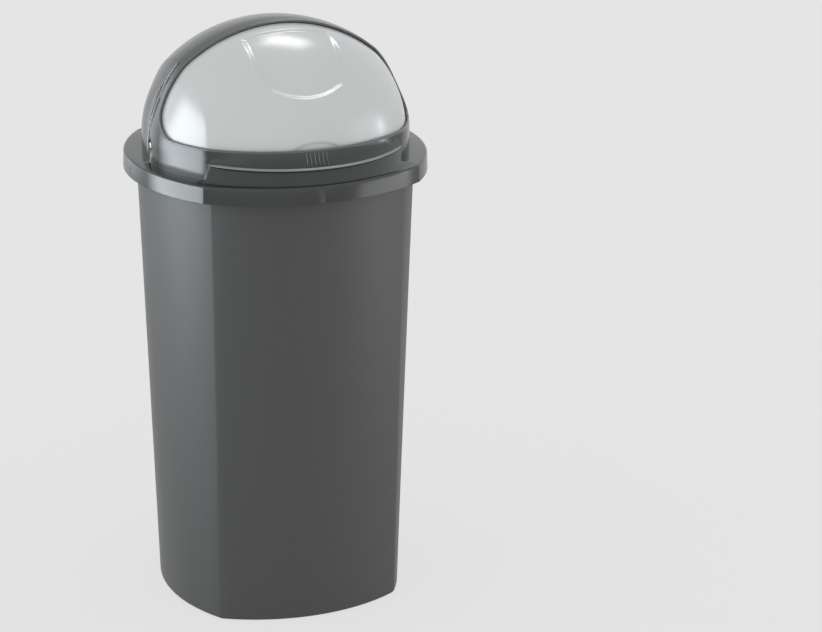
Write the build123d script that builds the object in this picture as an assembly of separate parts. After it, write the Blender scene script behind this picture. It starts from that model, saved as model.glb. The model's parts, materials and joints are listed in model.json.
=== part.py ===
from build123d import *
import math
import os

os.makedirs("parts", exist_ok=True)

# Driving dimensions in millimetres. X is across, the mouth faces -Y and Z is up.
# The origin is the middle of the base, on the floor.

# Tub: four bowed sides meeting in four upright ridges
tub_height = 578.8
base_half = 151.5
base_ridge = 118.0
mouth_half_x = 173.7
mouth_half_y = 170.7
mouth_ridge = 126.3
base_ridge_round = 14.0
mouth_ridge_round = 5.0
tub_wall = 2.4
floor_thickness = 3.0
foot_drop = 5.0
foot_width = 9.0
base_edge_round = 5.0
rim_reach = 11.5
rim_drop = 9.0

# Collar of the lid, over the rim, and the ledge inside it
lid_wall = 2.5
lid_play = 2.0
seat_gap = 0.3
collar_height = 21.6
collar_draft = 0.8
collar_edge_round = 3.0
ridge_share = 0.85
mark_width = 0.9
mark_depth = 0.5

# Front bands, from the ledge up to the edge of the mouth
step_up = 19.6
band_overhang = 7.2
step_width = 9.4
band_lean = 6.7

# Hood: half an outline turned about the pivot axis, with a longer back half
axis_up = 21.5
side_set_in = 5.7
cheek_depth = 42.0
cheek_middle_depth = 12.0
cheek_middle_r = 51.0
cheek_lean = 44.0
hood_ridge_r = 100.8
crown_r = 146.5
crown_set_in = 1.1
back_overhang = 4.3
back_proud = 0.5
back_middle_depth = 9.6
back_lean = 38.0
crease_y = -8.0

# Edge of the mouth in side view, measured from the pivot axis
mouth_edge_up = 15.5
mouth_corner_ahead = 50.0
mouth_turn_ahead = 24.0
mouth_turn_up = 27.0
mouth_cheek_ahead = 10.5
mouth_cheek_up = 44.0
mouth_arch_ahead = 8.2
mouth_arch_up = 88.0

# Flap: angles count from the front, upwards, about the pivot axis
flap_wall = 2.2
flap_gap = 3.0
flap_low_angle = -3.0
flap_high_angle = 98.0
flap_travel = 85.0
flap_flange = 6.0
scoop_half_width = 60.0
scoop_top_angle = 79.0
scoop_side_angle = 43.0
scoop_low_angle = 30.5
scoop_depth = 6.0
scoop_top_round = 8.0
scoop_low_round = 24.0
dent_angle = 4.0
dent_half_width = 35.0
dent_half_height = 15.5
dent_depth = 1.6

# Pivot pins and the bores, sinks, bosses and hubs that hold them
pin_head_d = 9.4
pin_head_length = 1.6
pin_shank_d = 6.9
pin_barb_over = 0.5
pin_barb_length = 4.0
pin_tip_under = 0.75
pin_slit = 1.2
pin_slit_extra = 3.0
pin_edge = 0.4
running_gap = 0.05
sink_gap = 1.5
sink_depth = 2.0
boss_d = 20.0
boss_length = 3.2
hub_d = 22.0
hub_length = 8.0
hub_gap = 0.6

# Stops inside the cheeks for the flap's edges
stop_from = 20.0
stop_to = 46.0
stop_thickness = 4.0
stop_reach = 22.0

# Values that follow
collar_top = tub_height + seat_gap + lid_wall
collar_bottom = collar_top - collar_height
collar_step = rim_reach + lid_play + lid_wall
ledge_low = collar_top - lid_wall
step_height = collar_top + step_up
axis_height = collar_top + axis_up
mouth_edge = axis_height + mouth_edge_up
band_front = mouth_half_y + band_overhang
upper_band_front = band_front - step_width
mouth_edge_front = upper_band_front - band_lean
axis_forward = mouth_edge_front - crown_set_in - crown_r
back_reach = mouth_half_y + back_overhang
pole_half = mouth_half_x - side_set_in
hood_ridge_x = pole_half - cheek_depth
front_ridge_y = axis_forward + hood_ridge_r
flap_inset = lid_wall + flap_gap
flap_r = crown_r - flap_inset
sink_floor = pole_half - sink_depth
boss_face = sink_floor - boss_length
flap_pole = boss_face - hub_gap
hub_end = flap_pole - hub_length
bore_d = pin_shank_d + 2 * running_gap
axis_place = Pos(0, -axis_forward, axis_height)
far = 2 * tub_height
cut_over = 1.0


def outline(half_x, half_y, ridge_x, ridge_y, height, ridge_round):
    """A face of four bowed sides, its ridges rounded, at the given height."""
    right = ThreePointArc((ridge_x, -ridge_y), (half_x, 0), (ridge_x, ridge_y))
    back = ThreePointArc((ridge_x, ridge_y), (0, half_y), (-ridge_x, ridge_y))
    left = ThreePointArc((-ridge_x, ridge_y), (-half_x, 0), (-ridge_x, -ridge_y))
    front = ThreePointArc((-ridge_x, -ridge_y), (0, -half_y), (ridge_x, -ridge_y))
    face = make_face([right, back, left, front])
    return Pos(0, 0, height) * fillet(face.vertices(), ridge_round)


def tub_outline(height, grow=0.0, share=None):
    """The tub's outline at a height, moved outwards by grow."""
    if share is None:
        share = height / tub_height
    half_x = base_half + (mouth_half_x - base_half) * share + grow
    half_y = base_half + (mouth_half_y - base_half) * share + grow
    ridge = base_ridge + (mouth_ridge - base_ridge) * share + grow * ridge_share
    ridge_round = base_ridge_round + (mouth_ridge_round - base_ridge_round) * share
    return outline(half_x, half_y, ridge, ridge, height, ridge_round)


def rim_outline(height, grow):
    """The mouth's outline moved outwards by grow, at any height."""
    return tub_outline(height, grow, share=1.0)


def between(low_face, high_face):
    """Straight-sided solid between two outlines."""
    return loft([low_face, high_face], ruled=True)


def make_tub():
    """Tapered tub with a foot ring, a floor and an out-turned rim with a hanging lip."""
    floor_top = foot_drop + floor_thickness
    rim_low = tub_height - rim_drop
    lip_inside = rim_reach - tub_wall
    outside = between(tub_outline(0), tub_outline(tub_height))
    outside = fillet(outside.edges().group_by(Axis.Z)[0], base_edge_round)
    inside = between(tub_outline(floor_top, -tub_wall), tub_outline(tub_height + cut_over, -tub_wall))
    foot = between(tub_outline(-cut_over, -foot_width), tub_outline(foot_drop, -foot_width))
    rim = between(rim_outline(rim_low, rim_reach), rim_outline(tub_height, rim_reach))
    rim = fillet(rim.edges().group_by(Axis.Z)[-1], tub_wall / 2)
    under_rim = between(
        rim_outline(rim_low - cut_over, lip_inside), rim_outline(tub_height - tub_wall, lip_inside)
    )
    return (rim - under_rim) + outside - inside - foot


def hood_profile(inset, middle_depth=cheek_middle_depth, end_lean=cheek_lean):
    """Half the hood's outline, X across and Y away from the pivot axis, moved inwards by inset."""
    lean = math.radians(end_lean)
    crown_run = 2 * math.atan2(crown_r - hood_ridge_r, hood_ridge_x)
    cheek_normal = (math.cos(lean), math.sin(lean))
    crown_normal = (math.sin(crown_run), math.cos(crown_run))
    # Along this direction the ridge stays on both inset curves
    meet = 1 + cheek_normal[0] * crown_normal[0] + cheek_normal[1] * crown_normal[1]
    ridge_x = hood_ridge_x - inset * (cheek_normal[0] + crown_normal[0]) / meet
    ridge_r = hood_ridge_r - inset * (cheek_normal[1] + crown_normal[1]) / meet
    middle_lean = math.atan2(cheek_depth, hood_ridge_r)
    middle_x = pole_half - middle_depth - inset * math.cos(middle_lean)
    middle_r = cheek_middle_r - inset * math.sin(middle_lean)
    pole = (pole_half - inset, 0)
    rising = (-math.sin(lean), math.cos(lean))
    right = Spline(pole, (middle_x, middle_r), (ridge_x, ridge_r), tangents=[(0, 1), rising])
    crown = ThreePointArc((ridge_x, ridge_r), (0, crown_r - inset), (-ridge_x, ridge_r))
    left = mirror(right, Plane.YZ)
    return make_face([right, crown, left, Line((-pole[0], 0), pole)])


def turned(inset, arc=360):
    """The profile turned about the pivot axis, from upright towards the front."""
    return revolve(Plane.XZ * hood_profile(inset), axis=Axis.X, revolution_arc=arc)


def stretch(inset):
    """How much longer the hood's back is than a plain turned one."""
    return (back_reach + axis_forward - inset) / (crown_r - inset)


def hood_back(inset, drop, full=False):
    """Back half of the hood and the wall under it, about the pivot axis, with full cheeks or not."""
    profile = hood_profile(inset, back_middle_depth, back_lean) if full else hood_profile(inset)
    away = Axis((0, 0, 0), (-1, 0, 0))
    quarter = revolve(Plane.XZ * profile, axis=away, revolution_arc=90)
    dome = scale(quarter, by=(1, stretch(inset), 1))
    wall = extrude(scale(profile, by=(1, stretch(inset), 1)), amount=-drop)
    return dome + wall


def hood_front(inset, drop):
    """Front half of the hood and the wall under it, about the pivot axis."""
    wall = extrude(Rot(180, 0, 0) * hood_profile(inset), amount=drop)
    return turned(inset, 90) + wall


def lower_band(inset, low, high):
    """Front of the lower band, from the ledge to the step."""
    side_x = hood_ridge_x - inset / 2
    ridge_y = front_ridge_y - inset / 2
    bow = ThreePointArc((-side_x, -ridge_y), (0, inset - band_front), (side_x, -ridge_y))
    back = Polyline(bow @ 1, (side_x, -ridge_y / 2), (-side_x, -ridge_y / 2), bow @ 0)
    return extrude(Pos(0, 0, low) * make_face([bow, back]), amount=high - low)


def upper_band(inset, low, high):
    """Leaning front of the upper band, from the step to the edge of the mouth."""
    side_x = hood_ridge_x - inset
    high_ridge_y = axis_forward + math.sqrt(hood_ridge_r**2 - mouth_edge_up**2)
    faces = []
    for ridge_y, middle, height in (
        (front_ridge_y - inset / 2, upper_band_front - inset, low),
        (high_ridge_y - inset / 2, mouth_edge_front - inset, high),
    ):
        bow = ThreePointArc((-side_x, -ridge_y), (0, -middle), (side_x, -ridge_y))
        inner_y = -ridge_y / 2
        back = Polyline(bow @ 1, (side_x, inner_y), (-side_x, inner_y), bow @ 0)
        faces.append(Pos(0, 0, height) * make_face([bow, back]))
    return between(*faces)


def mouth_cutter():
    """Prism right across the hood that opens the mouth, about the pivot axis."""
    start = (mouth_corner_ahead, mouth_edge_up)
    turn = (mouth_turn_ahead, mouth_turn_up)
    cheek = (mouth_cheek_ahead, mouth_cheek_up)
    arch = (mouth_arch_ahead, mouth_arch_up)
    edge = Spline(start, turn, cheek, arch, tangents=[(-1, 0), (0, 1)])
    around = Polyline(arch, (mouth_arch_ahead, far), (far, far), (far, mouth_edge_up), start)
    side_view = Plane((0, 0, 0), x_dir=(0, -1, 0), z_dir=(-1, 0, 0)) * make_face([edge, around])
    return extrude(side_view, amount=far / 2, both=True)


def across_disc(diameter, x_from, x_to):
    """A disc about the pivot axis between two places across."""
    middle = (x_from + x_to) / 2
    return Pos(middle, 0, 0) * Rot(0, 90, 0) * Cylinder(diameter / 2, abs(x_to - x_from))


def both_sides(piece):
    """A piece and its mirror image across the middle."""
    return piece + mirror(piece, Plane.YZ)


def cheek_stops():
    """Stops inside one cheek: ahead for the shut flap, behind for the open one."""
    angles = {-1: flap_low_angle, 1: 180 - flap_high_angle - flap_travel}
    low_corner = (Align.MIN, Align.CENTER, Align.MAX)
    blocks = Part()
    for way, angle in angles.items():
        block = Box(stop_reach, stop_to - stop_from, stop_thickness, align=low_corner)
        block = Pos(pole_half - stop_reach, way * (stop_from + stop_to) / 2, -seat_gap) * block
        blocks += Rot(way * angle, 0, 0) * block
    return blocks


def collar_marks():
    """Fine upright grooves where the mould's parts met, one in the middle of each side."""
    marks = Part()
    for half, turn in ((mouth_half_x, 0), (mouth_half_y, 90)):
        face = half + collar_step - collar_draft / 2
        groove = Box(2 * mark_depth, mark_width, collar_height - 2 * collar_edge_round)
        for way in (-1, 1):
            marks += Rot(0, 0, turn) * Pos(way * face, 0, (collar_bottom + collar_top) / 2) * groove
    return marks


def make_lid():
    """Collar, ledge, bands, cheeks and hood as one moulding, open below and at the mouth."""
    drop = axis_height - ledge_low
    cut_drop = drop + cut_over
    collar = between(
        rim_outline(collar_bottom, collar_step), rim_outline(collar_top, collar_step - collar_draft)
    )
    collar = fillet(collar.edges().group_by(Axis.Z)[-1], collar_edge_round)
    inner_step = collar_step - lid_wall
    collar_inside = between(
        rim_outline(collar_bottom - cut_over, inner_step),
        rim_outline(ledge_low, inner_step - collar_draft),
    )
    from_front = (Align.CENTER, Align.MIN, Align.CENTER)
    behind = Pos(0, crease_y + axis_forward, 0) * Box(far, far, far, align=from_front)
    full_back = hood_back(-back_proud, drop, full=True) & behind
    full_inside = hood_back(lid_wall - back_proud, cut_drop, full=True) & Pos(0, lid_wall, 0) * behind
    hood = hood_front(0, drop) + hood_back(0, drop) + full_back
    hood_inside = hood_front(lid_wall, cut_drop) + hood_back(lid_wall, cut_drop) + full_inside
    bands = lower_band(0, ledge_low, step_height) + upper_band(0, step_height - lid_wall, mouth_edge)
    bands_inside = lower_band(lid_wall, ledge_low - cut_over, step_height - lid_wall)
    bands_inside += upper_band(lid_wall, step_height - lid_wall - cut_over, mouth_edge)
    collar -= collar_inside + collar_marks()
    lid = collar + axis_place * hood + bands
    lid = lid - axis_place * hood_inside - bands_inside - axis_place * mouth_cutter()
    seats = both_sides(across_disc(boss_d, boss_face, sink_floor) + (cheek_stops() & hood))
    lid += axis_place * seats
    sink = across_disc(pin_head_d + 2 * sink_gap, sink_floor, pole_half + cut_over)
    bore = across_disc(bore_d, boss_face - cut_over, pole_half)
    return lid - axis_place * both_sides(sink + bore)


def segment(inset):
    """Part of the turned body between the flap's low and high edges."""
    body = turned(inset, flap_high_angle - flap_low_angle)
    return Rot(90 - flap_high_angle, 0, 0) * body


def cut_from_outside(face, angle):
    """Prism of a face drawn looking in towards the pivot axis at an angle from the front."""
    return Rot(90 - angle, 0, 0) * Pos(0, 0, crown_r / 2) * extrude(face, amount=crown_r)


def scoop_prism(grow):
    """Tall U of the grip scoop, its round end low, moved outwards by grow."""
    angle = (scoop_top_angle + scoop_low_angle) / 2
    top = flap_r * math.sin(math.radians(scoop_top_angle - angle)) + grow
    side = flap_r * math.sin(math.radians(scoop_side_angle - angle))
    low = flap_r * math.sin(math.radians(scoop_low_angle - angle)) - grow
    half = scoop_half_width + grow
    bow = ThreePointArc((-half, side), (0, low), (half, side))
    face = make_face([bow, Polyline((half, side), (half, top), (-half, top), (-half, side))])
    face = fillet(face.vertices().group_by(Axis.Y)[-1], scoop_top_round + grow)
    face = fillet(face.vertices().group_by(Axis.Y)[0], scoop_low_round + grow)
    return cut_from_outside(face, angle)


def scoop_floor(inset):
    """The turned body tipped inwards about the scoop's top edge."""
    top = math.radians(scoop_top_angle)
    span = 2 * flap_r * math.sin(math.radians(scoop_top_angle - scoop_low_angle) / 2)
    tip = math.degrees(scoop_depth / span)
    hinge = Pos(0, -flap_r * math.cos(top), flap_r * math.sin(top))
    return hinge * Rot(tip, 0, 0) * hinge.inverse() * turned(inset)


def dent_prism(grow):
    """Oval of the thumb dent at the flap's low edge, moved outwards by grow."""
    return cut_from_outside(Ellipse(dent_half_width + grow, dent_half_height + grow), dent_angle)


def make_flap():
    """Turned shell with end hubs, a grip scoop, a thumb dent and flanged edges."""
    inner = flap_inset + flap_wall
    outside = segment(flap_inset) & Box(2 * flap_pole, far, far)
    outside -= scoop_prism(0) - scoop_floor(flap_inset)
    outside -= dent_prism(0) - turned(flap_inset + dent_depth)
    inside = segment(inner) & Box(2 * (flap_pole - flap_wall), far, far)
    inside -= scoop_prism(flap_wall) - scoop_floor(inner)
    inside -= dent_prism(flap_wall) - turned(inner + dent_depth)
    shell = outside - inside
    core = turned(inner + flap_flange)
    for angle, side in ((flap_low_angle, Align.MIN), (flap_high_angle, Align.MAX)):
        slab = Box(2 * flap_pole, far, flap_wall, align=(Align.CENTER, Align.MAX, side))
        flange = (Rot(-angle, 0, 0) * slab) & segment(inner) & Box(2 * flap_pole - flap_wall, far, far)
        shell += flange - core
    shell += both_sides(across_disc(hub_d, hub_end, flap_pole))
    bore = across_disc(bore_d, -pole_half, pole_half)
    return axis_place * (shell - bore)


def make_pin(side):
    """Snap pin: round head in the cheek's sink, shank through cheek and hub, slit barbed tip."""
    barb_from = hub_end - running_gap
    barb_to = barb_from - pin_barb_length
    head = across_disc(pin_head_d, sink_floor, sink_floor + pin_head_length)
    head = chamfer(head.edges().group_by(Axis.X)[-1], pin_edge)
    shank = across_disc(pin_shank_d, barb_from, sink_floor)
    barb_r = pin_shank_d / 2 + pin_barb_over
    tip_r = pin_shank_d / 2 - pin_tip_under
    from_base = (Align.CENTER, Align.CENTER, Align.MIN)
    barb = Rot(0, -90, 0) * Cone(barb_r, tip_r, pin_barb_length, align=from_base)
    slit_end = barb_from + pin_slit_extra
    slit = Pos((barb_to + slit_end) / 2, 0, 0) * Box(slit_end - barb_to, 2 * barb_r, pin_slit)
    pin = head + shank + Pos(barb_from, 0, 0) * barb - slit
    if side < 0:
        pin = mirror(pin, Plane.YZ)
    return axis_place * pin


pieces = {
    "bin_tub": make_tub(),
    "lid_hood": make_lid(),
    "roll_flap": make_flap(),
    "pivot_pin_left": make_pin(-1),
    "pivot_pin_right": make_pin(1),
}

for name, piece in pieces.items():
    export_step(piece, f"parts/{name}.step")
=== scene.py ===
import json
import math
from contextlib import contextmanager

import bmesh
import bpy
import numpy as np
from bpy.props import FloatProperty, FloatVectorProperty, IntProperty, PointerProperty
from mathutils import Matrix, Vector
from mathutils.kdtree import KDTree


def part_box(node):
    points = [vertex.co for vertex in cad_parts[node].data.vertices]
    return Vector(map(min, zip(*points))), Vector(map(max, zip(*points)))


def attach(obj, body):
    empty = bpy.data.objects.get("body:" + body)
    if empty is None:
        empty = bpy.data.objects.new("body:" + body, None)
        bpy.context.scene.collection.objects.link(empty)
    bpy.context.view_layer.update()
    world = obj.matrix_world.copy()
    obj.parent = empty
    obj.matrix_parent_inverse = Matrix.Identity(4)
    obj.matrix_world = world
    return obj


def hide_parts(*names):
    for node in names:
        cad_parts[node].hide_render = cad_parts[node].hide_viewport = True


bl_info = {
    "name": "Roll top bin",
    "version": (1, 0, 0),
    "blender": (4, 5, 0),
    "location": "View3D > Sidebar > Bin",
    "description": "Finishes a tall waste bin whose lid flap rolls back under its hood",
    "category": "Object",
}

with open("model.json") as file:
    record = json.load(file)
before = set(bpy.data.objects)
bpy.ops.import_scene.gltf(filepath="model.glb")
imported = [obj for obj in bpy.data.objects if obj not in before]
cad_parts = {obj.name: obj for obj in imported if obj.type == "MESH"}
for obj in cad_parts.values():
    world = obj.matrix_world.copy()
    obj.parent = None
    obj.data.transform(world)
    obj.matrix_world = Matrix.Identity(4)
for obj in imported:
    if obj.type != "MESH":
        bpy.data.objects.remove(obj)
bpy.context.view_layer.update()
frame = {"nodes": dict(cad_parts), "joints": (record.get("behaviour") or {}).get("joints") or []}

pivot = next(Vector(joint["pos_m"]) for joint in frame["joints"] if joint["name"] == "flap_roll")
flap_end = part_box("roll_flap")[1].x

# Finishes: what differs from the defaults, which the lid's edge pieces mostly keep. Their colours are
# lighter than the lid's plastic: painted highlights
FINISHES = {
    "tub": {
        "colour": (0.046, 0.046, 0.046),
        "roughness": 0.48,
        "grain_waves": 1500.0,
        "grain_depth": 0.00006,
        "speckle": 0.35,
        "roughness_play": 0.08,
        "rounding": 0.0013,
    },
    "lid": {"colour": (0.025, 0.026, 0.026), "roughness": 0.19, "rounding": 0.0007},
    "flap": {
        "colour": (0.50, 0.50, 0.50),
        "roughness": 0.21,
        "speckle": 0.06,
        "roughness_play": 0.04,
        "rounding": 0.0007,
    },
    "pin": {
        "colour": (0.78, 0.76, 0.60),
        "roughness": 0.35,
        "grain_waves": 1500.0,
        "grain_depth": 0.00002,
        "speckle": 0.08,
        "rounding": 0.0005,
    },
    # Lip: lid plastic, lighter as a painted highlight along the mouth's edge
    "lip": {"colour": (0.085, 0.088, 0.09), "roughness": 0.20},
    # Crease's edge: lid plastic, much lighter as a painted highlight
    "crease": {"colour": (0.42, 0.43, 0.44)},
    # Step's edge: lid plastic, lighter as a painted highlight
    "step": {"colour": (0.20, 0.205, 0.205)},
    # Ribs: lid plastic, lighter as painted highlights of the band's light streaks
    "rib": {"colour": (0.12, 0.122, 0.122)},
}

# Plastic: waves of its noises to a metre, and how much they show
GRAIN_STRENGTH = 0.6
CLOUD_WAVES = 9.0
CLOUD_SHARE = 0.08
FLOW_WAVES = 40.0
FLOW_STRETCH = (1.0, 1.0, 0.25)
BEVEL_SAMPLES = 6

# Meshes: corners this close are one, or lie in a plane, and edges sharper than these
# angles stay sharp. The collar's rounding is taken to reach a little over its top
MERGE_GAP = 1e-6
PLANE_GAP = 0.00005
TUB_SHARP = math.radians(28)
LID_SHARP = math.radians(20)
PIN_SHARP = math.radians(30)
GRID_SHARP = math.radians(35)
COLLAR_ROUND_SHARP = math.radians(32)
COLLAR_ROUND_MARGIN = 0.0001

# Hood and mouth: points along the cheek, the crown and the parts of the mouth's edge
CHEEK_POINTS = 200
CROWN_POINTS = 400
MOUTH_LEVEL_POINTS = 30
MOUTH_TURN_POINTS = 90
MOUTH_UPRIGHT_POINTS = 60
MOUTH_FRONT_POINTS = 120
LIP_SIDES = 14

# Edges of the crease and the step: points and sides, and how they run out at their ends
CREASE_WALL_POINTS = 39
CREASE_SIDES = 10
CREASE_RUN_OUT = 0.1
STEP_POINTS = 160
STEP_SIDES = 40
STEP_RUN_OUT = 0.008

# Ribs: rows, columns, the width left at both ends, how bluntly they end, how deep they sit
RIB_ROWS = 12
RIB_COLUMNS = 9
RIB_END_WIDTH = 0.3
RIB_BLUNTNESS = 6
RIB_SINK = 0.1

# Flap: points of its outline and section, rows of its flat ends, and its scoop's softness
FLAP_CHEEK_POINTS = 70
FLAP_CROWN_POINTS = 110
FLAP_OUTSIDE_POINTS = 200
FLAP_INSIDE_POINTS = 50
FLAP_END_ROWS = 12
FLAP_END_SHRINK = 0.5
HUB_POINTS = 48
SCOOP_CORNER_SOFT = 0.013
SCOOP_TOP_SOFTNESS = 0.6

# Camera: picture and sensor width, focal length and the bin's place in the picture
IMAGE_WIDTH = 822
SENSOR_WIDTH = 36.0
FOCAL_PIXELS = 3056.5
AIM_RIGHT_PIXELS = -134.63
AIM_DOWN_PIXELS = -14.81
AIM_HEIGHT = 0.375
CLIP_END = 100.0

# Studio: what the camera sees behind the bin, the floor, and the brightness of each side
BACKDROP = (0.791, 0.791, 0.791, 1.0)
FLOOR_REACH = 14.0
FLOOR_COLOUR = (0.72, 0.72, 0.72, 1.0)
FLOOR_PALENESS = 0.85
SKY_COLOUR = (0.97, 0.99, 1.0, 1.0)
SKY = {"right": 1.15, "left": 1.45, "back": 0.9, "front": 1.3, "top": 0.85}

# Lamps: place, the point it faces, width and height, radiance, colour, and the shares of
# its width and height over which it fades: left, right, low, high
LAMPS = {
    "left_softbox": (
        (-1.26, 0.285, 0.66), (-0.288, 0.052, 0.66), (1.3, 1.15), 8.4,
        (0.86, 0.955, 1.0), (0.35, 0.01, 0.2, 0.25),
    ),
    "left_back_card": (
        (-0.75, 1.05, 0.62), (-0.15, 0.0, 0.62), (0.9, 0.95), 1.3,
        (0.82, 0.95, 1.0), (0.3, 0.3, 0.3, 0.3),
    ),
    "left_low_card": (
        (-1.29, 0.17, 0.16), (-0.318, -0.063, 0.16), (0.95, 0.27), 4.0,
        (0.85, 0.96, 1.0), (0.2, 0.01, 0.2, 0.2),
    ),
    "top_softbox": (
        (0.55, 0.85, 2.4), (0.0, 0.0, 0.6), (0.95, 0.66), 9.0,
        (1.0, 1.0, 1.0), (0.2, 0.2, 0.3, 0.1),
    ),
    "right_strip": (
        (2.32, -0.62, 0.685), (0.0, 0.0, 0.6), (0.25, 0.5), 11.0,
        (0.95, 0.98, 1.0), (0.3, 0.3, 0.2, 0.2),
    ),
    "right_card": (
        (2.12, -1.12, 0.72), (0.0, 0.0, 0.6), (2.1, 1.1), 1.2,
        (0.95, 0.98, 1.0), (0.3, 0.3, 0.2, 0.2),
    ),
    "right_low_card": (
        (1.286, -0.773, 0.26), (0.0, 0.0, 0.26), (1.3, 0.5), 2.1,
        (1.0, 1.0, 1.0), (0.15, 0.15, 0.02, 0.2),
    ),
}


# Materials

class Socket:
    """A node's output that Python's operators turn into Math nodes."""

    def __init__(self, nodes, link):
        self.nodes = nodes
        self.link = link

    def math(self, operation, first, second):
        """A Math node of the given operation on two values or links."""
        return self.nodes.add("ShaderNodeMath", {"operation": operation}, {0: first, 1: second})

    def __add__(self, other):
        return self.math("ADD", self, other)

    def __radd__(self, other):
        return self.math("ADD", other, self)

    def __sub__(self, other):
        return self.math("SUBTRACT", self, other)

    def __rsub__(self, other):
        return self.math("SUBTRACT", other, self)

    def __mul__(self, other):
        return self.math("MULTIPLY", self, other)

    def __rmul__(self, other):
        return self.math("MULTIPLY", other, self)


class Nodes:
    """The node tree of a material, a lamp or the world."""

    def __init__(self, owner):
        owner.use_nodes = True
        self.tree = owner.node_tree
        self.tree.nodes.clear()

    def add(self, kind, settings=None, values=None, output=0):
        """A node of the given type: its settings first, then its sockets' values or links."""
        node = self.tree.nodes.new(kind)
        for name, value in (settings or {}).items():
            setattr(node, name, value)
        for name, value in (values or {}).items():
            if isinstance(value, Socket):
                self.tree.links.new(value.link, node.inputs[name])
            else:
                node.inputs[name].default_value = value
        if output is None:
            return node
        return Socket(self, node.outputs[output])

    def parts(self, direction):
        """The X, Y and Z of a direction, by their names."""
        split = self.add("ShaderNodeSeparateXYZ", None, {0: direction}, output=None)
        return {axis: Socket(self, split.outputs[axis]) for axis in "XYZ"}

    def place(self):
        """Where a point is on the piece, in metres."""
        return self.add("ShaderNodeTexCoord", output="Object")

    def noise(self, scale, detail=2.0, roughness=0.5, stretch=(1.0, 1.0, 1.0)):
        """Noise from 0 to 1, with scale waves to a metre."""
        place = self.add("ShaderNodeMapping", None, {"Vector": self.place(), "Scale": stretch})
        values = {"Vector": place, "Scale": scale, "Detail": detail, "Roughness": roughness}
        return self.add("ShaderNodeTexNoise", None, values)

    def shade(self, colour, amount):
        """A colour made lighter or darker by a value around 1."""
        grey = self.add("ShaderNodeCombineXYZ", None, {0: amount, 1: amount, 2: amount})
        values = {0: tuple(colour), 1: grey}
        return self.add("ShaderNodeVectorMath", {"operation": "MULTIPLY"}, values)

    def bump(self, height, distance, strength, rounding):
        """A fine relief on a surface whose edges look rounded by a radius."""
        rounded = self.add("ShaderNodeBevel", {"samples": BEVEL_SAMPLES}, {"Radius": rounding})
        values = {"Height": height, "Distance": distance, "Strength": strength, "Normal": rounded}
        return self.add("ShaderNodeBump", None, values)


def plastic(name, finish):
    """Moulded plastic, from three noises between 0 and 1: a fine grain, a slow cloud and a flow.

    The colour is multiplied by 1 plus the speckle times grain - 0.5, plus a small share of
    cloud - 0.5. The roughness goes up and down with flow - 0.5, and the grain is also a relief.
    """
    material = bpy.data.materials.new(name)
    nodes = Nodes(material)
    grain = nodes.noise(finish.grain_waves, detail=3.0, roughness=0.6)
    cloud = nodes.noise(CLOUD_WAVES)
    flow = nodes.noise(FLOW_WAVES, detail=3.0, stretch=FLOW_STRETCH)
    tone = 1.0 + (grain - 0.5) * finish.speckle + (cloud - 0.5) * CLOUD_SHARE
    values = {
        "Base Color": nodes.shade(finish.colour, tone),
        "Roughness": finish.roughness + (flow - 0.5) * finish.roughness_play,
        "Normal": nodes.bump(grain, finish.grain_depth, GRAIN_STRENGTH, finish.rounding),
        "IOR": finish.ior,
    }
    shader = nodes.add("ShaderNodeBsdfPrincipled", None, values)
    nodes.add("ShaderNodeOutputMaterial", None, {"Surface": shader}, output=None)
    return material


def finish_material(context, name, part):
    """The plastic of one finish, whose settings get their first values from the table."""
    finish = getattr(context.scene.roll_top_bin, part)
    for key, value in FINISHES[part].items():
        if not finish.is_property_set(key):
            setattr(finish, key, value)
    return plastic(name, finish)


# Meshes

@contextmanager
def opened(mesh):
    """A mesh opened for changes, which are written back at the end."""
    work = bmesh.new()
    work.from_mesh(mesh)
    yield work
    work.to_mesh(mesh)
    work.free()


def add_object(name, data):
    """A new object in the scene, at the origin."""
    made = bpy.data.objects.new(name, data)
    bpy.context.scene.collection.objects.link(made)
    return made


def settle(piece, body, slot, *nodes):
    """Hides the CAD nodes that a piece stands for and hangs it on the body it rides on. The slot is not
    used.
    """
    if nodes:
        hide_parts(*nodes)
    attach(piece, body)


def dress(node, body, slot, material, sharp_angle):
    """A merged copy of a moulded piece, shaded smooth up to the angle of its real edges."""
    mesh = frame["nodes"][node].data.copy()
    piece = add_object(node + "_finished", mesh)
    with opened(mesh) as work:
        bmesh.ops.remove_doubles(work, verts=work.verts, dist=MERGE_GAP)
    mesh.materials.clear()
    mesh.materials.append(material)
    mesh.shade_smooth()
    mesh.set_sharp_from_angle(angle=sharp_angle)
    settle(piece, body, slot, node)
    return piece


def smooth_between(mesh, low, high, sharp_angle):
    """Smooths the edges of a rounding between two heights, whose facets are wider."""
    with opened(mesh) as work:
        for edge in work.edges:
            heights = [vert.co.z for vert in edge.verts]
            if low < min(heights) and max(heights) < high:
                edge.smooth = edge.smooth or edge.calc_face_angle(math.pi) < sharp_angle


def close_crease(mesh, crease_y, lowest, gap):
    """Lifts the front rim of the crease over the arch onto its back rim, so that none shows there.

    Both rims lie in one upright plane. Above the lowest height, a corner with another one
    within the gap and over it goes to that one's place.
    """
    with opened(mesh) as work:
        rims = [v for v in work.verts if abs(v.co.y - crease_y) < PLANE_GAP and v.co.z > lowest]
        tree = KDTree(len(rims))
        for number, vert in enumerate(rims):
            tree.insert(vert.co, number)
        tree.balance()
        places = [vert.co.copy() for vert in rims]
        for vert, place in zip(rims, places):
            over = [places[n] for _, n, _ in tree.find_range(place, gap) if places[n].z > place.z]
            if over:
                vert.co = over[0]
        bmesh.ops.remove_doubles(work, verts=rims, dist=MERGE_GAP)
        bmesh.ops.dissolve_degenerate(work, edges=work.edges, dist=MERGE_GAP)


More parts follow.
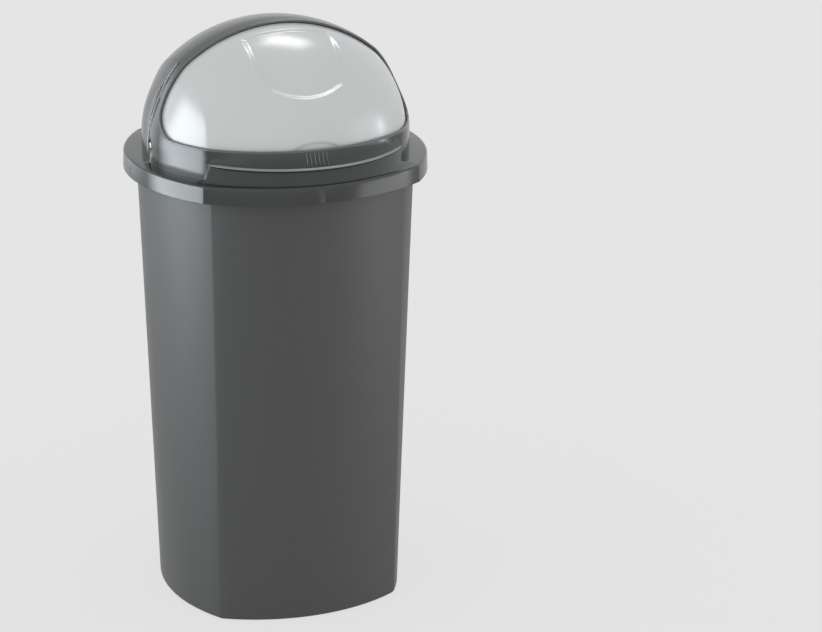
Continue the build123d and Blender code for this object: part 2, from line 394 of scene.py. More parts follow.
def grid_object(name, points, material, wrap_rows=False, wrap_columns=False):
    """A piece from a grid of points, rows by columns, its faces joined round where asked."""
    rows, columns = points.shape[:2]
    index = np.arange(rows * columns).reshape(rows, columns)
    if wrap_rows:
        index = np.vstack([index, index[:1]])
    if wrap_columns:
        index = np.hstack([index, index[:, :1]])
    faces = np.stack([index[:-1, :-1], index[:-1, 1:], index[1:, 1:], index[1:, :-1]], axis=-1)
    mesh = bpy.data.meshes.new(name)
    mesh.from_pydata(points.reshape(-1, 3), [], faces.reshape(-1, 4))
    mesh.shade_smooth()
    mesh.materials.append(material)
    return add_object(name, mesh)


def face_outwards(piece):
    """Merges the doubles of a closed piece and turns its faces outwards."""
    with opened(piece.data) as work:
        bmesh.ops.remove_doubles(work, verts=work.verts, dist=MERGE_GAP)
        bmesh.ops.recalc_face_normals(work, faces=work.faces)
    piece.data.shade_smooth()
    piece.data.set_sharp_from_angle(angle=GRID_SHARP)


# Shapes

def smooth_step(value):
    """0 below 0 and 1 above 1, with a soft start and end."""
    t = np.clip(value, 0.0, 1.0)
    return t * t * (3 - 2 * t)


def smooth_curve(points, first, last, count):
    """Points along the cubic curve through the given ones, its ends heading first and last.

    Each span is a cubic in the chord length. The slopes at the points inside are those
    at which neighbouring spans also bend alike.
    """
    points = np.array(points, float)
    spans = np.linalg.norm(np.diff(points, axis=0), axis=1)
    knots = np.concatenate([[0.0], np.cumsum(spans)])
    system = np.eye(len(points))
    sides = np.zeros_like(points)
    sides[0] = first
    sides[-1] = last
    for i in range(1, len(points) - 1):
        before, after = spans[i - 1], spans[i]
        system[i, i - 1 : i + 2] = after, 2 * (before + after), before
        sides[i] = 3 * (
            after * (points[i] - points[i - 1]) / before + before * (points[i + 1] - points[i]) / after
        )
    slopes = np.linalg.solve(system, sides)
    at = np.linspace(0, knots[-1], count)
    span = np.clip(np.searchsorted(knots, at, side="right") - 1, 0, len(spans) - 1)
    chord = spans[span][:, None]
    t = ((at - knots[span])[:, None]) / chord
    return (
        (2 * t**3 - 3 * t**2 + 1) * points[span]
        + (t**3 - 2 * t**2 + t) * chord * slopes[span]
        + (3 * t**2 - 2 * t**3) * points[span + 1]
        + (t**3 - t**2) * chord * slopes[span + 1]
    )


def hood_profile(hood, cheek_count, crown_count):
    """Half the hood's outline from its right pole to its left one, and the way inwards.

    Each point is (across, away from the pivot axis). The way inwards is the step that
    1 of inset takes: the inward normal, or the mitre of both normals at a ridge.
    """
    pole = (hood.pole_half, 0.0)
    ridge = (hood.pole_half - hood.cheek_depth, hood.ridge_r)
    lean = hood.cheek_lean
    middle = (hood.pole_half - hood.cheek_middle_depth, hood.cheek_middle_r)
    rising = (-math.sin(lean), math.cos(lean))
    cheek = smooth_curve([pole, middle, ridge], (0.0, 1.0), rising, cheek_count)
    sagitta = hood.crown_r - hood.ridge_r
    bend = (ridge[0] ** 2 + sagitta**2) / (2 * sagitta)
    run = math.asin(ridge[0] / bend)
    turn = np.linspace(run, 0, crown_count)[1:]
    crown = np.column_stack([bend * np.sin(turn), hood.crown_r - bend + bend * np.cos(turn)])
    half = np.vstack([cheek, crown])
    along = np.gradient(cheek, axis=0)
    cheek_in = np.column_stack([-along[:, 1], along[:, 0]])
    cheek_in /= np.linalg.norm(cheek_in, axis=1)[:, None]
    crown_in = -np.column_stack([np.sin(turn), np.cos(turn)])
    crown_start = -np.array([math.sin(run), math.cos(run)])
    both = cheek_in[-1] + crown_start
    cheek_in[-1] = both * 2 / (both @ both)
    inwards = np.vstack([cheek_in, crown_in])
    flip = np.array([-1.0, 1.0])
    return np.vstack([half, half[-2::-1] * flip]), np.vstack([inwards, inwards[-2::-1] * flip])


def about_pivot(across, away, angle):
    """Points at a distance from the pivot axis, at angles counted from the front upwards."""
    return np.stack(
        [across, pivot.y - away * np.cos(angle), pivot.z + away * np.sin(angle)], axis=-1
    )


def tube(path, outwards, radius, sides, closed=True):
    """Grid of a round bar along a path: circles square to it, from the side outwards."""
    if closed:
        along = np.roll(path, -1, axis=0) - np.roll(path, 1, axis=0)
    else:
        along = np.gradient(path, axis=0)
    along /= np.linalg.norm(along, axis=1)[:, None]
    across = np.cross(along, outwards)
    across /= np.linalg.norm(across, axis=1)[:, None]
    outwards = np.cross(across, along)
    turn = np.linspace(0, 2 * np.pi, sides, endpoint=False)[None, :, None]
    ring = np.cos(turn) * outwards[:, None] + np.sin(turn) * across[:, None]
    return path[:, None] + radius * ring


def arc_front(across, half, ends, middle):
    """How far ahead an arc is at places across, through its two ends and its middle."""
    bow = (half**2 + (middle - ends) ** 2) / (2 * (middle - ends))
    return middle - bow + np.sqrt(bow**2 - across**2)


def band_front(band, across, height):
    """How far ahead the upper band's face is: straight lines between two arcs."""
    low = arc_front(across, band.ridge_x, band.low_ridge, band.low_front)
    high = arc_front(across, band.ridge_x, band.high_ridge, band.high_front)
    share = (height - band.step_height) / (band.edge_height - band.step_height)
    return low + (high - low) * share


def mouth_side(hood, profile):
    """The mouth's edge on the right, from the band's end up to the crown, on a profile.

    Seen from the side it runs level, then turns along a smooth curve through four points,
    then rises upright. Each point lies across where the profile is as far from the pivot
    axis as the point is.
    """
    corner = (hood.corner_ahead, hood.edge_up)
    turn = (hood.turn_ahead, hood.turn_up)
    cheek = (hood.cheek_ahead, hood.cheek_up)
    arch = (hood.arch_ahead, hood.arch_up)
    curve = smooth_curve([corner, turn, cheek, arch], (-1.0, 0.0), (0.0, 1.0), MOUTH_TURN_POINTS)
    crown_r = profile[:, 1].max()
    ridge_r = profile[profile[:, 0] > hood.pole_half - hood.cheek_depth, 1].max()
    start = math.sqrt(ridge_r**2 - hood.edge_up**2)
    ahead = np.linspace(start, hood.corner_ahead, MOUTH_LEVEL_POINTS)[:-1]
    low = np.column_stack([ahead, np.full(len(ahead), hood.edge_up)])
    top = math.sqrt(crown_r**2 - hood.arch_ahead**2)
    over = np.linspace(hood.arch_up, top, MOUTH_UPRIGHT_POINTS + 1)[1:]
    high = np.column_stack([np.full(len(over), hood.arch_ahead), over])
    side = np.vstack([low, curve, high])
    away = np.minimum(np.hypot(side[:, 0], side[:, 1]), crown_r)
    half = len(profile) // 2 + 1
    across = np.interp(away, profile[:half, 1], profile[:half, 0])
    return np.column_stack([across, pivot.y - side[:, 0], pivot.z + side[:, 1]])


def lip_surface(hood, band):
    """Grid of the mouth's lip: a round bar up the right side, down the left, along the band."""
    profile, inwards = hood_profile(hood, CHEEK_POINTS, CROWN_POINTS)
    right = mouth_side(hood, profile + inwards * hood.lip_inset)
    left = right[::-1] * np.array([-1.0, 1.0, 1.0])
    across = np.linspace(left[-1, 0], right[0, 0], MOUTH_FRONT_POINTS)[1:-1]
    front = -band_front(band, across, band.edge_height) + hood.lip_inset
    height = np.full(len(across), band.edge_height)
    path = np.vstack([right, left[1:], np.column_stack([across, front, height])])
    away = path - np.array([0.0, pivot.y, pivot.z])
    return tube(path, away, hood.lip_r, LIP_SIDES)


def crease_surface(hood, side):
    """Grid of the crease's edge on one cheek: a round bar that thins out at both ends.

    Its path lies in the crease's upright plane, d behind the pivot axis. It rises straight
    from its foot along the cheek, then follows the cheek's outline, whose point at a distance
    r from the axis is at the height of the root of r x r - d x d over it. The radius grows
    with the root of the share of the way from either end.
    """
    profile, inwards = hood_profile(hood, CHEEK_POINTS, CROWN_POINTS)
    cheek = (profile - inwards * hood.crease_proud)[:CHEEK_POINTS]
    behind = hood.crease_y - pivot.y
    cheek = cheek[cheek[:, 1] > behind]
    height = pivot.z + np.sqrt(cheek[:, 1] ** 2 - behind**2)
    wall = np.linspace(hood.crease_foot, height[0], CREASE_WALL_POINTS + 1)[:-1]
    across = np.concatenate([np.full(len(wall), cheek[0, 0]), cheek[:, 0]])
    height = np.concatenate([wall, height])
    share = np.linspace(0.0, 1.0, len(height))
    grown = np.clip(np.minimum(share, 1.0 - share) / CREASE_RUN_OUT, 0.0, 1.0)
    radius = hood.crease_r * np.sqrt(grown)
    path = np.column_stack([side * across, np.full(len(height), hood.crease_y), height])
    outwards = np.broadcast_to([side, 0.0, 0.0], path.shape)
    return tube(path, outwards, radius[:, None, None], CREASE_SIDES, closed=False)


def step_surface(band):
    """Grid of the step's rounded edge: a flat ellipse carried along the lower band's front arc.

    Around the ellipse, at an angle t, the place down the slope is the long half times cos t
    and the place out of it is the thick half times sin t, both moved back under the corner.
    Both are then leant by the slope. Towards its two ends the ellipse shrinks with the root
    of the way left.
    """
    across = band.ridge_x * np.sin(np.linspace(-0.5 * np.pi, 0.5 * np.pi, STEP_POINTS))
    front = arc_front(across, band.ridge_x, band.low_ridge, band.step_front)
    path = np.column_stack([across, -front, np.full(len(across), band.step_height)])
    along = np.gradient(path, axis=0)
    along /= np.linalg.norm(along, axis=1)[:, None]
    upwards = np.array([0.0, 0.0, 1.0])
    outwards = np.cross(along, upwards)
    slope = band.step_slope
    turn = np.linspace(0, 2 * np.pi, STEP_SIDES, endpoint=False)
    down = band.step_long * np.cos(turn) - band.step_back
    proud = band.step_thick * np.sin(turn) - band.step_sink
    out = down * math.cos(slope) + proud * math.sin(slope)
    up = proud * math.cos(slope) - down * math.sin(slope)
    left_over = np.clip((band.ridge_x - np.abs(across)) / STEP_RUN_OUT, 0.0, 1.0)
    shrink = left_over[:, None, None] ** 0.5
    ring = out[None, :, None] * outwards[:, None] + up[None, :, None] * upwards
    return path[:, None] + shrink * ring


def rib_surface(band, number):
    """Grid of one rib: half an ellipse upright on the upper band's face, blunt at both ends.

    With s from -1 to 1 up the rib, its height is multiplied by the root of 1 - s to a high
    power, and its width by a share of that.
    """
    margin = 2 * band.rib_half_width
    height = np.linspace(band.step_height + margin, band.edge_height - margin, RIB_ROWS)[:, None]
    turn = np.linspace(np.pi, 0, RIB_COLUMNS)[None, :]
    up = np.linspace(-1, 1, RIB_ROWS)
    taper = np.sqrt(np.clip(1 - up**RIB_BLUNTNESS, 0, 1))[:, None]
    width = RIB_END_WIDTH + (1 - RIB_END_WIDTH) * taper
    middle = band.rib_first + number * band.rib_step
    across = middle + band.rib_half_width * np.cos(turn) * width
    proud = band.rib_height * np.sin(turn) * taper
    ahead = band_front(band, across, height) + proud - RIB_SINK * band.rib_height
    return np.stack([across, -ahead, np.broadcast_to(height, across.shape)], axis=-1)


def scoop_sink(flap, hood, across, angle):
    """How deep the scoop goes at a place across and an angle.

    The scoop is a tall U seen square on: straight sides, a bowed end. Its depth grows
    evenly from its top edge to its bottom, and a soft step runs along its border.
    """
    flap_r = hood.crown_r - flap.inset
    middle = (flap.scoop_top + flap.scoop_low) / 2
    height = flap_r * np.sin(angle - middle)
    top = flap_r * math.sin(flap.scoop_top - middle)
    side = flap_r * math.sin(flap.scoop_side - middle)
    low = flap_r * math.sin(flap.scoop_low - middle)
    drop = side - low
    bow = (flap.scoop_half_width**2 + drop**2) / (2 * drop)
    to_side = flap.scoop_half_width - np.abs(across)
    to_end = bow - np.hypot(across, height - low - bow)
    to_end = np.where(height > low + bow, bow, to_end)
    # Rounded minimum of the two, so that the corners between side and end are soft
    soft = SCOOP_CORNER_SOFT
    blend = np.maximum(soft - np.abs(to_side - to_end), 0.0) / soft
    inside = np.minimum(to_side, to_end) - blend**2 * soft / 4
    share = (top - height) / (top - low)
    depth = flap.scoop_start + (flap.scoop_depth - flap.scoop_start) * np.clip(share, 0.0, 1.0)
    border = smooth_step(inside / flap.scoop_soft)
    border = border * smooth_step((top - height) / (SCOOP_TOP_SOFTNESS * flap.scoop_soft))
    return depth * border


def dent_sink(flap, hood, across, angle):
    """How deep the thumb dent goes: an oval with a soft step round it."""
    flap_r = hood.crown_r - flap.inset
    height = flap_r * np.sin(angle - flap.dent_angle)
    reach = np.hypot(across / flap.dent_half_width, height / flap.dent_half_height)
    inside = (1 - reach) * flap.dent_half_height
    return flap.dent_depth * smooth_step(inside / flap.dent_soft)


def flap_section(flap, hood):
    """The loop round the flap's wall and flanges, as insets and angles.

    It goes out along the outside from low to high, in over the flange, and back along
    the inside.
    """
    outer = flap.inset
    inner = outer + flap.wall
    deep = inner + flap.flange
    step = flap.wall / hood.ridge_r
    low, high = flap.low_angle, flap.high_angle
    outside = np.linspace(low, high, FLAP_OUTSIDE_POINTS)
    inside = np.linspace(high - step, low + step, FLAP_INSIDE_POINTS)
    out_insets = np.full(FLAP_OUTSIDE_POINTS, outer)
    in_insets = np.full(FLAP_INSIDE_POINTS, inner)
    insets = np.concatenate([out_insets, [inner, deep, deep], in_insets, [deep, deep, inner]])
    angles = np.concatenate([outside, [high, high, high - step], inside, [low + step, low, low]])
    return insets, angles


def flap_surface(flap, hood):
    """Grid of the flap: its section carried along the hood's outline, flat at both ends."""
    profile, inwards = hood_profile(hood, FLAP_CHEEK_POINTS, FLAP_CROWN_POINTS)
    outer = profile + inwards * flap.inset
    kept = np.abs(outer[:, 0]) < flap_end
    right = outer[len(outer) // 2 :: -1]
    first = np.interp(flap_end, right[:, 0], right[:, 1])
    profile = profile[kept]
    inwards = inwards[kept]
    insets, angles = flap_section(flap, hood)
    across = profile[:, :1] + inwards[:, :1] * insets
    away = profile[:, 1:] + inwards[:, 1:] * insets
    # The flat ends: rows from the bore out to where the outline leaves the end plane
    ends = np.linspace(flap.bore_r, first, FLAP_END_ROWS)[:, None]
    into = np.minimum(insets - flap.inset, flap.wall)
    end_across = np.broadcast_to(flap_end - into, (len(ends), len(insets)))
    end_away = ends - (insets - flap.inset) * (ends / first) * FLAP_END_SHRINK
    across = np.vstack([end_across, across, -end_across[::-1]])
    away = np.vstack([end_away, away, end_away[::-1]])
    sink = scoop_sink(flap, hood, across, angles) + dent_sink(flap, hood, across, angles)
    return about_pivot(across, away - sink, np.broadcast_to(angles, away.shape))


def hub_surface(flap, side):
    """Grid of one hub: a rectangle between its two radii turned about the pivot axis."""
    end, start = side * flap_end, side * (flap_end - flap.hub_length)
    section = np.array([(end, flap.bore_r), (end, flap.hub_r), (start, flap.hub_r), (start, flap.bore_r)])
    angle = np.linspace(0, 2 * np.pi, HUB_POINTS, endpoint=False)[:, None]
    across, away, angle = np.broadcast_arrays(section[:, 0], section[:, 1], angle)
    return about_pivot(across, away, angle)


# Stage

def swing(first, second, angle):
    """Two directions square to each other, both turned by an angle, first towards second."""
    return (
        first * math.cos(angle) + second * math.sin(angle),
        second * math.cos(angle) - first * math.sin(angle),
    )


def make_camera(settings):
    """A long lens that looks at a point beside the bin, so that the bin stands left of the middle."""
    azimuth, elevation = settings.camera_azimuth, settings.camera_elevation
    level = math.cos(elevation)
    back = Vector((-math.sin(azimuth) * level, -math.cos(azimuth) * level, math.sin(elevation)))
    right = Vector((math.cos(azimuth), -math.sin(azimuth), 0.0))
    up = back.cross(right)
    place = Vector((0.0, 0.0, AIM_HEIGHT)) + settings.camera_distance * back
    right, forward = swing(right, -back, math.atan(AIM_RIGHT_PIXELS / FOCAL_PIXELS))
    up, forward = swing(up, forward, math.atan(-AIM_DOWN_PIXELS / FOCAL_PIXELS))
    right, up = swing(right, up, -settings.camera_roll)
    data = bpy.data.cameras.new("camera")
    data.sensor_width = SENSOR_WIDTH
    data.sensor_fit = "HORIZONTAL"
    data.lens = FOCAL_PIXELS * SENSOR_WIDTH / IMAGE_WIDTH
    data.clip_end = CLIP_END
    camera = add_object("camera", data)
    turned = Matrix((right, up, -forward)).transposed()
    camera.matrix_world = Matrix.Translation(place) @ turned.to_4x4()
    bpy.context.scene.camera = camera


def softbox(name, place, aim, size, radiance, colour, fades):
    """A rectangular lamp that faces a point, for the glosses alone.

    Its level is the product of four soft ramps, one in from each side: left, right, low,
    high. Each ramp rises from 0 to 1 over its share of the width or height.
    """
    data = bpy.data.lights.new(name, "AREA")
    nodes = Nodes(data)
    parts = nodes.parts(nodes.add("ShaderNodeNewGeometry", output="Parametric"))
    level = 1.0
    for axis, low, high in (("X", fades[0], fades[1]), ("Y", fades[2], fades[3])):
        for edge, fade in ((parts[axis], low), (1.0 - parts[axis], high)):
            ramp = {"Value": edge, "From Max": fade}
            soft = nodes.add("ShaderNodeMapRange", {"interpolation_type": "SMOOTHSTEP"}, ramp)
            level = soft * level
    glow = nodes.add("ShaderNodeEmission", None, {"Strength": level})
    nodes.add("ShaderNodeOutputLight", None, {"Surface": glow}, output=None)
    width, height = size
    data.shape = "RECTANGLE"
    data.size = width
    data.size_y = height
    data.energy = radiance * math.pi * width * height
    data.color = colour
    lamp = add_object(name, data)
    lamp.location = place
    lamp.rotation_euler = (Vector(aim) - Vector(place)).to_track_quat("-Z", "Y").to_euler()
    lamp.visible_diffuse = False


def seen_or_mirrored(nodes):
    """1 for what the camera sees straight or in a gloss, else 0."""
    paths = nodes.add("ShaderNodeLightPath", output=None)
    camera = Socket(nodes, paths.outputs["Is Camera Ray"])
    glossy = Socket(nodes, paths.outputs["Is Glossy Ray"])
    through = Socket(nodes, paths.outputs["Is Transmission Ray"])
    return camera.math("MINIMUM", camera + glossy + through, 1.0)


def sky_level(nodes):
    """Brightness of the sky: each side's own level, shared by the squares of the direction."""
    parts = nodes.parts(nodes.add("ShaderNodeTexCoord", output="Generated"))
    level = 0.0
    for axis, over, under in (("X", "right", "left"), ("Y", "back", "front"), ("Z", "top", "top")):
        part = parts[axis]
        over_part = part.math("MAXIMUM", part, 0.0)
        under_part = part.math("MINIMUM", part, 0.0)
        level = over_part * over_part * SKY[over] + under_part * under_part * SKY[under] + level
    return level


def make_floor():
    """A pale floor that keeps the bin's shadow and, where it is seen, is mostly the backdrop."""
    reach = FLOOR_REACH
    corners = [(-reach, -reach, 0), (reach, -reach, 0), (reach, reach, 0), (-reach, reach, 0)]
    mesh = bpy.data.meshes.new("floor")
    mesh.from_pydata(corners, [], [(0, 1, 2, 3)])
    floor = add_object("floor", mesh)
    material = bpy.data.materials.new("pale_floor")
    nodes = Nodes(material)
    lit = nodes.add("ShaderNodeBsdfDiffuse", None, {"Color": FLOOR_COLOUR})
    pale = nodes.add("ShaderNodeEmission", None, {"Color": BACKDROP, "Strength": 1.0})
    seen = seen_or_mirrored(nodes) * FLOOR_PALENESS
    mixed = nodes.add("ShaderNodeMixShader", None, {0: seen, 1: lit, 2: pale})
    nodes.add("ShaderNodeOutputMaterial", None, {"Surface": mixed}, output=None)
    mesh.materials.append(material)


def make_world(scene):
    """The backdrop that the camera sees, and a sky with a level for each side for the rest."""
    world = bpy.data.worlds.new("studio")
    scene.world = world
    nodes = Nodes(world)
    sky = nodes.add("ShaderNodeBackground", None, {"Color": SKY_COLOUR, "Strength": sky_level(nodes)})
    pale = nodes.add("ShaderNodeBackground", None, {"Color": BACKDROP, "Strength": 1.0})
    straight = nodes.add("ShaderNodeLightPath", output="Is Camera Ray")
    fill = nodes.add("ShaderNodeMixShader", None, {0: straight, 1: sky, 2: pale})
    nodes.add("ShaderNodeOutputWorld", None, {"Surface": fill}, output=None)


# Settings

def metres(name, description, default):
    """A property for a length in metres."""
    return FloatProperty(name=name, description=description, default=default, unit="LENGTH", precision=4)


def degrees(name, description, default):
    """A property for an angle whose default is given in degrees."""
    return FloatProperty(
        name=name, description=description, default=math.radians(default), subtype="ANGLE"
    )


def factor(name, description, default):
    """A property for a value from 0 to 1."""
    return FloatProperty(
        name=name, description=description, default=default, subtype="FACTOR", min=0.0, max=1.0
    )


class FinishSettings(bpy.types.PropertyGroup):
    colour: FloatVectorProperty(
        name="Colour",
        description="Colour of the plastic",
        subtype="COLOR",
        size=3,
        default=(0.05, 0.05, 0.05),
    )
    roughness: factor("Roughness", "How dull the surface is", 0.3)
    roughness_play: factor("Roughness play", "How much the roughness varies", 0.05)
    speckle: factor("Speckle", "How much the grain shows in the colour", 0.3)
    grain_waves: FloatProperty(
        name="Grain", description="Waves of the grain to a metre", default=2200.0, min=0.0
    )
    grain_depth: metres("Grain depth", "Depth of the grain's relief", 0.00001)
    rounding: metres("Rounding", "Radius that the edges look rounded by", 0.0003)
    ior: FloatProperty(name="IOR", description="Refractive index", default=1.5, min=1.0, max=3.0)


class HoodSettings(bpy.types.PropertyGroup):
    pole_half: metres("Half width", "From the middle to the cheek at the pivot", 0.168)
    cheek_depth: metres("Cheek depth", "How far the cheek comes in from pivot to ridge", 0.042)
    cheek_middle_depth: metres("Cheek middle depth", "How far it has come in half way", 0.012)
    cheek_middle_r: metres("Cheek middle radius", "Where half way is, from the pivot", 0.051)
    cheek_lean: degrees("Cheek lean", "Lean of the cheek where it meets the ridge", 44.0)
    ridge_r: metres("Ridge radius", "From the pivot axis to the ridge", 0.1008)
    crown_r: metres("Crown radius", "From the pivot axis to the crown", 0.1465)
    edge_up: metres("Mouth's low edge", "Height of the mouth's low edge over the pivot", 0.0155)
    corner_ahead: metres("Mouth's corner", "Where the low edge starts to turn up", 0.050)
    turn_ahead: metres("Turn ahead", "Middle of the mouth's low turn, ahead of the pivot", 0.024)
    turn_up: metres("Turn up", "Middle of the mouth's low turn, over the pivot", 0.027)
    cheek_ahead: metres("Cheek ahead", "The mouth's edge on the cheek, ahead of the pivot", 0.0105)
    cheek_up: metres("Cheek up", "The mouth's edge on the cheek, over the pivot", 0.044)
    arch_ahead: metres("Arch ahead", "The mouth's arch, ahead of the pivot", 0.0082)
    arch_up: metres("Arch up", "Where the arch becomes upright, over the pivot", 0.088)
    crease_y: metres("Crease", "Place of the crease behind the mouth, from front to back", -0.008)
    crease_low: metres("Crease's top", "Height over which the crease runs out", 0.7035)
    crease_proud: metres("Crease proud", "How far the hood stands out behind the crease", 0.0006)
    crease_foot: metres("Crease's foot", "Height of the crease's low end", 0.590)
    crease_r: metres("Crease radius", "Radius of the crease's rounded edge", 0.0008)
    crease_step: metres("Crease step", "Largest height of the crease's step", 0.0008)
    lip_r: metres("Lip radius", "Radius of the rounded lip round the mouth", 0.0018)
    lip_inset: metres("Lip inset", "From the hood's outside to the middle of the lip", 0.00165)


class BandSettings(bpy.types.PropertyGroup):
    collar_top: metres("Collar top", "Height of the collar's top", 0.5816)
    collar_round: metres("Collar round", "Height of the collar's rounded top edge", 0.0031)
    step_height: metres("Step height", "Height of the step under the upper band", 0.6012)
    edge_height: metres("Edge height", "Height of the mouth's low edge", 0.6186)
    low_front: metres("Low front", "Front of the upper band at the step", 0.1685)
    high_front: metres("High front", "Front of the upper band at the mouth", 0.1618)
    ridge_x: metres("Ridge across", "From the middle to the band's ends", 0.126)
    low_ridge: metres("Low ridge", "How far ahead the band's ends are at the step", 0.115)
    high_ridge: metres("High ridge", "How far ahead the band's ends are at the mouth", 0.1138)
    step_front: metres("Step front", "Front of the lower band", 0.1779)
    step_long: metres("Step edge length", "Half the length of the step's sloping edge", 0.0022)
    step_thick: metres("Step edge thickness", "Half the thickness of the step's edge", 0.0009)
    step_back: metres("Step edge back", "How far back up the slope its middle is", 0.0011)
    step_sink: metres("Step edge sink", "How far under the corner its middle is", 0.0007)
    step_slope: degrees("Step edge slope", "How steeply the step's edge slopes to the front", 23.0)
    rib_count: IntProperty(
        name="Ribs", description="Fine upright ribs on the upper band", default=6, min=1
    )
    rib_first: metres("First rib", "Place of the first rib across", -0.016)
    rib_step: metres("Rib step", "From one rib to the next", 0.0052)
    rib_half_width: metres("Rib half width", "Half the width of a rib", 0.00045)
    rib_height: metres("Rib height", "How far a rib stands proud", 0.0004)


class FlapSettings(bpy.types.PropertyGroup):
    inset: metres("Inset", "From the hood's outside to the flap's outside", 0.0041)
    wall: metres("Wall", "Thickness of the flap", 0.0022)
    flange: metres("Flange", "How far its edges turn in", 0.006)
    low_angle: degrees("Low edge", "Angle of the low edge, from the front upwards", -3.0)
    high_angle: degrees("High edge", "Angle of the high edge, from the front upwards", 98.0)
    hub_r: metres("Hub radius", "Outside radius of the hubs", 0.011)
    hub_length: metres("Hub length", "Length of the hubs", 0.008)
    bore_r: metres("Bore radius", "Radius of the bore in the hubs", 0.0035)
    scoop_half_width: metres("Scoop half width", "Half the width of the grip scoop", 0.060)
    scoop_top: degrees("Scoop top", "Angle of the scoop's top edge", 79.0)
    scoop_side: degrees("Scoop side", "Angle where the scoop's round end starts", 43.0)
    scoop_low: degrees("Scoop bottom", "Angle of the scoop's lowest point", 30.5)
    scoop_depth: metres("Scoop depth", "Depth of the scoop at its bottom", 0.006)
    scoop_start: metres("Scoop start", "Depth of the scoop at its top edge", 0.0018)
    scoop_soft: metres("Scoop softness", "Width of the scoop's rounded sides", 0.0090)
    dent_angle: degrees("Dent angle", "Angle of the thumb dent's middle", 4.0)
    dent_half_width: metres("Dent half width", "Half the width of the thumb dent", 0.035)
    dent_half_height: metres("Dent half height", "Half the height of the thumb dent", 0.0155)
    dent_depth: metres("Dent depth", "Depth of the thumb dent", 0.0013)
    dent_soft: metres("Dent softness", "Width of the dent's rounded side", 0.0030)


class BinSettings(bpy.types.PropertyGroup):
    tub: PointerProperty(type=FinishSettings)
    lid: PointerProperty(type=FinishSettings)
    flap: PointerProperty(type=FinishSettings)
    pin: PointerProperty(type=FinishSettings)
    lip: PointerProperty(type=FinishSettings)
    crease: PointerProperty(type=FinishSettings)
    step: PointerProperty(type=FinishSettings)
    rib: PointerProperty(type=FinishSettings)
    hood_shape: PointerProperty(type=HoodSettings)
    flap_shape: PointerProperty(type=FlapSettings)
    band_shape: PointerProperty(type=BandSettings)
    pin_share: factor("Pin share", "Share of its bore's width that a pin fills", 0.82)
    camera_distance: metres("Camera distance", "From the middle of the bin to the camera", 3.915)
    camera_azimuth: degrees("Camera azimuth", "How far the camera stands to the left", 18.9966)
    camera_elevation: degrees("Camera elevation", "How far the camera looks down", 18.6074)
    camera_roll: degrees("Camera roll", "How far the picture is turned", 0.4154)


# Operators

class BIN_OT_tub(bpy.types.Operator):
    """The tub in dark matt plastic"""

    bl_idname = "bin.tub"
    bl_label = "Tub"

    def execute(self, context):
        material = finish_material(context, "tub_plastic", "tub")
        dress("bin_tub", "tub", "tub_plastic", material, TUB_SHARP)
        return {"FINISHED"}


class BIN_OT_lid(bpy.types.Operator):
    """The lid with its hood in dark satin plastic"""

    bl_idname = "bin.lid"
    bl_label = "Lid and hood"

    def execute(self, context):
        settings = context.scene.roll_top_bin
        hood, band = settings.hood_shape, settings.band_shape
        material = finish_material(context, "lid_finish", "lid")
        lid = dress("lid_hood", "lid", "lid_plastic", material, LID_SHARP)
        low, high = band.collar_top - band.collar_round, band.collar_top + COLLAR_ROUND_MARGIN
        smooth_between(lid.data, low, high, COLLAR_ROUND_SHARP)
        close_crease(lid.data, hood.crease_y, hood.crease_low, hood.crease_step)
        return {"FINISHED"}


class BIN_OT_lip(bpy.types.Operator):
    """The rounded lip all round the mouth"""

    bl_idname = "bin.lip"
    bl_label = "Lip of the mouth"

    def execute(self, context):
        settings = context.scene.roll_top_bin
        points = lip_surface(settings.hood_shape, settings.band_shape)
        # The lip's lighter colour is a painted highlight on the lid's plastic
        lip = grid_object("mouth_lip", points, finish_material(context, "lip_painted_highlight", "lip"), True, True)
        face_outwards(lip)
        settle(lip, "lid", "lid_plastic")
        return {"FINISHED"}


class BIN_OT_crease(bpy.types.Operator):
    """The edge of the crease on both cheeks, behind the mouth, lighter than the lid as a painted
    highlight
    """

    bl_idname = "bin.crease"
    bl_label = "Edge of the crease"

    def execute(self, context):
        hood = context.scene.roll_top_bin.hood_shape
        # The crease's edge is coloured lighter than the lid: a painted highlight
        material = finish_material(context, "crease_painted_highlight", "crease")
        for side, name in ((-1, "left"), (1, "right")):
            points = crease_surface(hood, side)
            bead = grid_object(f"crease_edge_{name}", points, material, wrap_columns=True)
            face_outwards(bead)
            settle(bead, "lid", "lid_plastic")
        return {"FINISHED"}


class BIN_OT_step(bpy.types.Operator):
    """The rounded edge of the step between the two bands"""

    bl_idname = "bin.step"
    bl_label = "Edge of the step"

    def execute(self, context):
        points = step_surface(context.scene.roll_top_bin.band_shape)
        # The step's edge is coloured lighter than the lid: a painted highlight
        material = finish_material(context, "step_painted_highlight", "step")
        edge = grid_object("step_edge", points, material, wrap_columns=True)
        face_outwards(edge)
        settle(edge, "lid", "lid_plastic")
        return {"FINISHED"}


class BIN_OT_ribs(bpy.types.Operator):
    """Fine upright ribs on the upper band, over the middle of the front"""

    bl_idname = "bin.ribs"
    bl_label = "Ribs"

    def execute(self, context):
        band = context.scene.roll_top_bin.band_shape
        # The ribs are coloured lighter than the lid: painted highlights
        material = finish_material(context, "rib_painted_highlight", "rib")
        for number in range(band.rib_count):
            rib = grid_object(f"band_rib_{number + 1}", rib_surface(band, number), material)
            settle(rib, "lid", "lid_plastic")
        return {"FINISHED"}


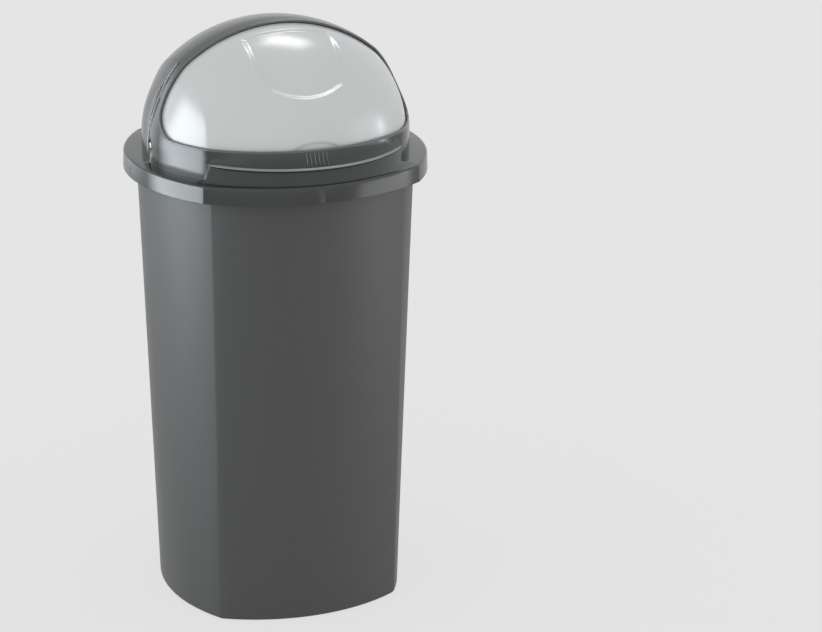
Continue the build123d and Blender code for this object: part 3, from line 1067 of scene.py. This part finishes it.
class BIN_OT_flap(bpy.types.Operator):
    """The flap in light silver plastic, with its grip scoop, thumb dent and hubs"""

    bl_idname = "bin.flap"
    bl_label = "Flap"

    def execute(self, context):
        settings = context.scene.roll_top_bin
        flap = settings.flap_shape
        material = finish_material(context, "flap_plastic", "flap")
        points = flap_surface(flap, settings.hood_shape)
        piece = grid_object("flap_shell", points, material, wrap_columns=True)
        face_outwards(piece)
        settle(piece, "flap", "flap_plastic", "roll_flap")
        for side, name in ((-1, "left"), (1, "right")):
            hub = grid_object(f"flap_hub_{name}", hub_surface(flap, side), material, True, True)
            face_outwards(hub)
            settle(hub, "flap", "flap_plastic", "roll_flap")
        return {"FINISHED"}


class BIN_OT_pins(bpy.types.Operator):
    """The two pivot pins in ivory plastic, a little slimmer so that their bores show round them"""

    bl_idname = "bin.pins"
    bl_label = "Pivot pins"

    def execute(self, context):
        material = finish_material(context, "pin_plastic", "pin")
        slim = context.scene.roll_top_bin.pin_share
        axis = Vector((0.0, pivot.y, pivot.z))
        about_axis = Matrix.Translation(axis) @ Matrix.Diagonal((1.0, slim, slim, 1.0))
        about_axis = about_axis @ Matrix.Translation(-axis)
        for node in ("pivot_pin_left", "pivot_pin_right"):
            pin = dress(node, "flap", "pin_plastic", material, PIN_SHARP)
            pin.data.transform(about_axis)
        return {"FINISHED"}


class BIN_OT_stage(bpy.types.Operator):
    """Pale floor, soft lamps and the camera"""

    bl_idname = "bin.stage"
    bl_label = "Floor, lamps and camera"

    def execute(self, context):
        scene = context.scene
        make_camera(scene.roll_top_bin)
        make_floor()
        make_world(scene)
        for name, lamp in LAMPS.items():
            softbox(name, *lamp)
        scene.view_settings.view_transform = "Standard"
        return {"FINISHED"}


OPERATORS = (
    BIN_OT_tub,
    BIN_OT_lid,
    BIN_OT_lip,
    BIN_OT_crease,
    BIN_OT_step,
    BIN_OT_ribs,
    BIN_OT_flap,
    BIN_OT_pins,
    BIN_OT_stage,
)


class BIN_PT_panel(bpy.types.Panel):
    """Lists the bin's pieces"""

    bl_label = "Roll top bin"
    bl_idname = "BIN_PT_panel"
    bl_space_type = "VIEW_3D"
    bl_region_type = "UI"
    bl_category = "Bin"

    def draw(self, context):
        for operator in OPERATORS:
            self.layout.operator(operator.bl_idname)


CLASSES = (
    FinishSettings,
    HoodSettings,
    BandSettings,
    FlapSettings,
    BinSettings,
    *OPERATORS,
    BIN_PT_panel,
)


def register():
    for each in CLASSES:
        bpy.utils.register_class(each)
    bpy.types.Scene.roll_top_bin = PointerProperty(type=BinSettings)


def unregister():
    del bpy.types.Scene.roll_top_bin
    for each in reversed(CLASSES):
        bpy.utils.unregister_class(each)


def main():
    register()
    for operator in OPERATORS:
        group, name = operator.bl_idname.split(".")
        getattr(getattr(bpy.ops, group), name)()


if __name__ == "__main__":
    main()
